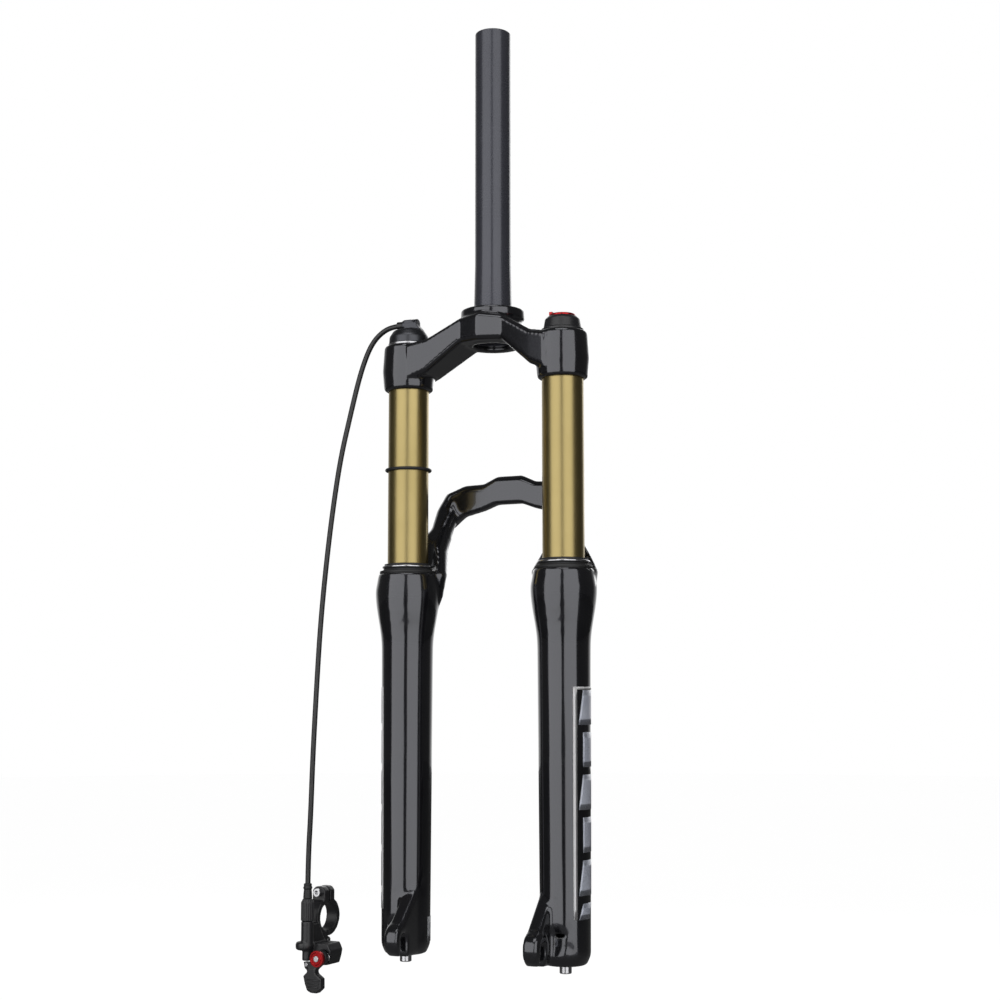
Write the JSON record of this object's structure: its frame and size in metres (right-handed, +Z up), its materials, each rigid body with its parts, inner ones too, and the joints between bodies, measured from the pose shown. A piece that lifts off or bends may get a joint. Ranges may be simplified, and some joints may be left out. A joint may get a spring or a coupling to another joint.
{
  "type": "suspension fork",
  "caption": "Air-sprung bicycle suspension fork with a rear arch, forward dropouts, disc posts and a cable lockout with its handlebar remote.",
  "frame": {"origin": "crown-race seat: the crown's top face on the steerer's axis", "axes": "+Z up the steerer, +X towards the rider's left leg (air leg and brake posts), -Y towards the front of the bicycle"},
  "size_m": [0.2545, 0.104, 0.7656],
  "materials": {
    "black_paint": "gloss black paint on cast magnesium",
    "steerer_alloy": "satin dark grey blue coating",
    "gold_anodised": "pale gold low-friction coating, polished along its length",
    "gunmetal": "gunmetal anodised",
    "silver_alloy": "machined, bright",
    "black_alloy": "satin black",
    "red_anodised": "red anodised",
    "polished_steel": "bright steel",
    "brass": "machined brass",
    "seal_rubber": "matt nitrile rubber",
    "oiled_foam": "oil-soaked foam",
    "bushing_polymer": "low-friction polymer on a steel back",
    "cable_jacket": "black extruded jacket"
  },
  "bodies": {
    "crown_assembly": {"steerer_tube": "steerer_alloy", "fork_crown": "black_paint", "stanchion_damper": "gold_anodised", "stanchion_air": "gold_anodised", "damper_top_cap": "silver_alloy", "lockout_cover": "gunmetal", "compression_valve": "silver_alloy", "air_top_cap": "black_alloy", "air_valve_stem": "brass", "air_valve_core": "brass", "damper_seal_head": "silver_alloy", "air_seal_head": "silver_alloy", "negative_spring": "polished_steel", "cable_housing": "cable_jacket", "housing_ferrule": "cable_jacket", "housing_boot": "seal_rubber", "remote_body": "black_alloy", "clamp_strap": "black_alloy", "clamp_hinge_pin": "polished_steel", "clamp_screw": "polished_steel", "lever_pivot": "polished_steel", "lever_return_spring": "polished_steel"},
    "lowers": {"lower_legs": "black_paint", "wiper_seal_damper": "seal_rubber", "wiper_seal_air": "seal_rubber", "garter_springs": "polished_steel", "foam_rings": "oiled_foam", "upper_bushings": "bushing_polymer", "lower_bushings": "bushing_polymer", "crush_washers": "polished_steel", "bottom_bumpers": "seal_rubber", "foot_bolts": "polished_steel", "damper_shaft": "polished_steel", "rebound_piston": "silver_alloy", "rebound_piston_ring": "seal_rubber", "air_shaft": "polished_steel", "air_piston": "silver_alloy", "air_piston_ring": "seal_rubber"},
    "sag_indicator": {"sag_ring": "seal_rubber"},
    "lockout_rotor": {"lockout_spool": "silver_alloy", "compression_rod": "polished_steel"},
    "lever": {"thumb_lever": "black_alloy", "cable_nipple": "silver_alloy"},
    "button": {"release_button": "red_anodised", "button_screw": "polished_steel"},
    "barrel": {"barrel_adjuster": "black_alloy", "adjuster_screw": "polished_steel"},
    "valve_cap": {"air_valve_cap": "red_anodised"}
  },
  "joints": [
    {"name": "travel", "type": "slide", "parent": "crown_assembly", "child": "lowers", "axis": [0, 0, 1], "range_m": [0, 0.1], "stiffness_N_per_m": 7000, "deforming": ["negative_spring"]},
    {"name": "sag_ring_slide", "type": "slide", "parent": "crown_assembly", "child": "sag_indicator", "axis": [0, 0, 1], "range_m": [0, 0.03]},
    {"name": "lever_throw", "type": "hinge", "parent": "crown_assembly", "child": "lever", "pos_m": [-0.13953, -0.01535, -0.5087], "axis": [-0.108, -0.9942, 0], "range_deg": [0, 37], "stiffness_Nm_per_rad": 0.2, "springref_deg": -11.46},
    {"name": "lockout_turn", "type": "hinge", "parent": "crown_assembly", "child": "lockout_rotor", "pos_m": [-0.066, -0.017, -0.026], "axis": [0, 0, 1], "range_deg": [0, 89]},
    {"name": "button_press", "type": "slide", "parent": "crown_assembly", "child": "button", "axis": [0.108, 0.9942, 0], "range_m": [0, 0.0024], "stiffness_N_per_m": 600, "springref_m": -0.0008},
    {"name": "barrel_turn", "type": "hinge", "parent": "crown_assembly", "child": "barrel", "pos_m": [-0.15359, -0.01705, -0.4807], "axis": [0, 0, 1], "continuous": true},
    {"name": "valve_cap_lift", "type": "slide", "parent": "crown_assembly", "child": "valve_cap", "axis": [0, 0, 1], "range_m": [0, 0.02]}
  ],
  "couplings": [
    {"joint": "sag_ring_slide", "follows": "travel", "ratio": 0.3},
    {"joint": "lockout_turn", "follows": "lever_throw", "ratio": 2.3793}
  ]
}
